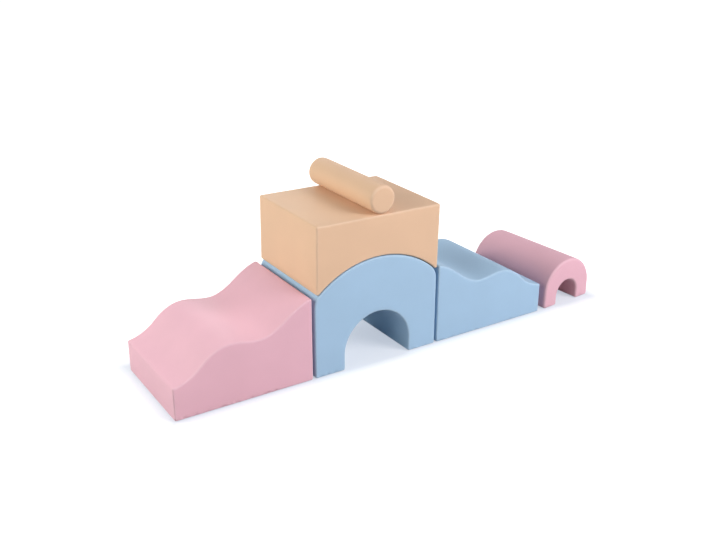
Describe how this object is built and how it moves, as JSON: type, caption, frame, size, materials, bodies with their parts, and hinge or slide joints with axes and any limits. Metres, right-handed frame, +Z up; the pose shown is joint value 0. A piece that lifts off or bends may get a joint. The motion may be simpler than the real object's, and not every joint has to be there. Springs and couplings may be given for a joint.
{
  "type": "soft play foam climber",
  "caption": "Low row of covered foam blocks for toddlers: wave ramps up to a tunnel arch with a bridge cap and a roll on top, and a small arch beside them.",
  "frame": {"origin": "on the floor, at the middle of the row's length and depth", "axes": "+X along the row, to the right seen from the front; +Y from the front to the back; +Z up"},
  "size_m": [1.7977, 0.4337, 0.6411],
  "materials": {
    "pink_leather": "satin",
    "blue_leather": "satin",
    "peach_leather": "satin",
    "pink_tape": "matte",
    "blue_tape": "matte",
    "peach_tape": "matte",
    "foam": "matte",
    "non_slip_fabric": "matte",
    "slider_metal": "satin"
  },
  "bodies": {
    "arch": {"arch_cover": "blue_leather", "arch_foam": "foam", "arch_left_foot_panel": "non_slip_fabric", "arch_right_foot_panel": "non_slip_fabric", "arch_zipper": "blue_tape"},
    "arch_slider": {"arch_zipper_slider": "slider_metal"},
    "pink_ramp": {"pink_ramp_cover": "pink_leather", "pink_ramp_foam": "foam", "pink_ramp_base_panel": "non_slip_fabric", "pink_ramp_zipper": "pink_tape"},
    "pink_ramp_slider": {"pink_ramp_zipper_slider": "slider_metal"},
    "blue_ramp": {"blue_ramp_cover": "blue_leather", "blue_ramp_foam": "foam", "blue_ramp_base_panel": "non_slip_fabric", "blue_ramp_zipper": "blue_tape"},
    "blue_ramp_slider": {"blue_ramp_zipper_slider": "slider_metal"},
    "cap": {"cap_cover": "peach_leather", "cap_foam": "foam", "cap_saddle_panel": "non_slip_fabric", "cap_zipper": "peach_tape"},
    "cap_slider": {"cap_zipper_slider": "slider_metal"},
    "roll": {"roll_cover": "peach_leather", "roll_foam": "foam", "roll_zipper": "peach_tape"},
    "roll_slider": {"roll_zipper_slider": "slider_metal"},
    "small_arch": {"small_arch_cover": "pink_leather", "small_arch_foam": "foam", "small_arch_left_foot_panel": "non_slip_fabric", "small_arch_right_foot_panel": "non_slip_fabric", "small_arch_zipper": "pink_tape"},
    "small_arch_slider": {"small_arch_zipper_slider": "slider_metal"}
  },
  "joints": [
    {"name": "pink_ramp_slide", "type": "slide", "parent": "arch", "child": "pink_ramp", "axis": [-1, 0, 0], "range_m": [0, 0.5]},
    {"name": "blue_ramp_slide", "type": "slide", "parent": "arch", "child": "blue_ramp", "axis": [0, -1, 0], "range_m": [0, 0.5]},
    {"name": "small_arch_slide", "type": "slide", "parent": "arch", "child": "small_arch", "axis": [1, 0, 0], "range_m": [0, 0.5]},
    {"name": "cap_lift", "type": "slide", "parent": "arch", "child": "cap", "axis": [0, 0, 1], "range_m": [0, 0.25]},
    {"name": "roll_lift", "type": "slide", "parent": "cap", "child": "roll", "axis": [0, 0, 1], "range_m": [0, 0.2]},
    {"name": "arch_zip", "type": "slide", "parent": "arch", "child": "arch_slider", "axis": [0, -1, 0], "range_m": [0, 0.2818]},
    {"name": "pink_ramp_zip", "type": "slide", "parent": "pink_ramp", "child": "pink_ramp_slider", "axis": [-1, 0, 0], "range_m": [0, 0.3818]},
    {"name": "blue_ramp_zip", "type": "slide", "parent": "blue_ramp", "child": "blue_ramp_slider", "axis": [-1, 0, 0], "range_m": [0, 0.3818]},
    {"name": "cap_zip", "type": "slide", "parent": "cap", "child": "cap_slider", "axis": [0, 1, 0], "range_m": [0, 0.2818]},
    {"name": "roll_zip", "type": "slide", "parent": "roll", "child": "roll_slider", "axis": [-0.0017, 1, 0], "range_m": [0, 0.2958]},
    {"name": "small_arch_zip", "type": "slide", "parent": "small_arch", "child": "small_arch_slider", "axis": [-0.0698, 0.9976, 0], "range_m": [0, 0.2998]}
  ]
}
